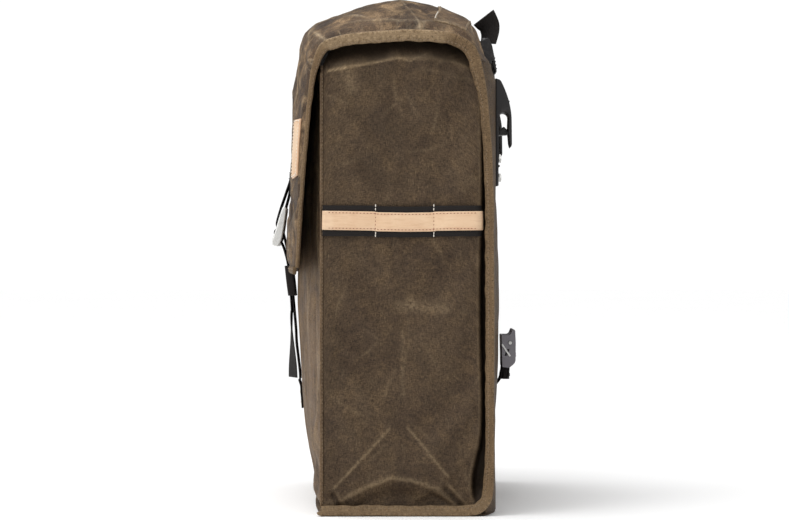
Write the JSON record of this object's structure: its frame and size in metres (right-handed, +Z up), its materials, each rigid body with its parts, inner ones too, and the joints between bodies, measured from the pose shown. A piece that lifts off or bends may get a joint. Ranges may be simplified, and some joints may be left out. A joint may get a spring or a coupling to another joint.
{
  "type": "bicycle pannier bag",
  "caption": "Waxed canvas bicycle pannier with a domed lid flap, outward bound seams, side lash bands, hooked strap closure, rack hooks and a lower cam buckle.",
  "frame": {"origin": "on the ground under the middle of the bag's overall box", "axes": "+X along the bicycle, +Y towards the rack, +Z up"},
  "size_m": [0.3, 0.2109, 0.4337],
  "materials": {
    "canvas_side": "dark brown waxed canvas",
    "canvas_front": "worn brown waxed canvas",
    "canvas_lid": "mottled brown waxed canvas",
    "binding": "waxed canvas tape, rubbed pale",
    "webbing": "black woven webbing",
    "leather": "natural vegetable-tanned leather",
    "elastic": "black ribbed elastic",
    "hook_plastic": "black moulded nylon",
    "stiffener": "black sheet plastic",
    "hook_alloy": "satin aluminium",
    "buckle_alloy": "grey anodised aluminium",
    "steel": "plain steel"
  },
  "bodies": {
    "root": {"back_panel": "canvas_side", "front_panel": "canvas_front", "side_panel_left": "canvas_side", "side_panel_right": "canvas_side", "bottom_panel": "canvas_side", "rear_top_panel": "canvas_lid", "back_stiffener": "stiffener", "base_board": "stiffener", "binding_left": "binding", "binding_right": "binding", "lash_webbing_left": "webbing", "lash_webbing_right": "webbing", "lash_leather_left": "leather", "lash_leather_right": "leather", "strap_cover": "canvas_lid", "lid_strap": "webbing", "lock_anchor": "webbing", "front_anchor": "webbing", "lower_anchor": "webbing", "hook_left": "hook_plastic", "hook_right": "hook_plastic", "latch_pin_left": "steel", "latch_pin_right": "steel", "backing_strip_left": "steel", "backing_strip_right": "steel", "hook_screws": "steel", "hook_nuts": "steel"},
    "lid": {"lid_flap": "canvas_lid", "lid_binding_left": "binding", "lid_binding_right": "binding", "flap_hem": "binding", "leather_patch": "leather", "flap_loop": "webbing"},
    "closure": {"closure_strap": "webbing"},
    "keeper": {"strap_keeper": "elastic"},
    "clasp": {"closure_hook": "hook_alloy"},
    "ladder_lock": {"ladder_lock": "hook_plastic"},
    "latch_left": {"hook_latch_left": "hook_plastic"},
    "latch_right": {"hook_latch_right": "hook_plastic"},
    "buckle": {"cam_buckle": "buckle_alloy", "cam_pin": "steel"},
    "lever": {"cam_lever": "buckle_alloy"}
  },
  "joints": [
    {"name": "lid_fold", "type": "hinge", "parent": "root", "child": "lid", "pos_m": [0, 0.02, 0.432], "axis": [-1, 0, 0], "range_deg": [0, 110]},
    {"name": "strap_swing", "type": "hinge", "parent": "root", "child": "closure", "pos_m": [0, -0.0831, 0.104], "axis": [1, 0, 0], "range_deg": [0, 65]},
    {"name": "keeper_slide", "type": "slide", "parent": "closure", "child": "keeper", "axis": [0, -0.0208, 0.9998], "range_m": [-0.01, 0.003]},
    {"name": "clasp_tilt", "type": "hinge", "parent": "closure", "child": "clasp", "pos_m": [0, -0.10091, 0.23169], "axis": [1, 0, 0], "range_deg": [0, 6]},
    {"name": "lock_tilt", "type": "hinge", "parent": "root", "child": "ladder_lock", "pos_m": [0, 0.08758, 0.3747], "axis": [-1, 0, 0], "range_deg": [0, 12]},
    {"name": "latch_left_swing", "type": "hinge", "parent": "root", "child": "latch_left", "pos_m": [-0.085, 0.0861, 0.314], "axis": [-1, 0, 0], "range_deg": [0, 70], "stiffness_Nm_per_rad": 0.02, "springref_deg": -17.19},
    {"name": "latch_right_swing", "type": "hinge", "parent": "root", "child": "latch_right", "pos_m": [0.085, 0.0861, 0.314], "axis": [-1, 0, 0], "range_deg": [0, 70], "stiffness_Nm_per_rad": 0.02, "springref_deg": -17.19},
    {"name": "buckle_swing", "type": "hinge", "parent": "root", "child": "buckle", "pos_m": [0, 0.098, 0.1175], "axis": [-1, 0, 0], "range_deg": [0, 60]},
    {"name": "lever_open", "type": "hinge", "parent": "buckle", "child": "lever", "pos_m": [0, 0.1005, 0.136], "axis": [1, 0, 0], "range_deg": [0, 80]}
  ]
}
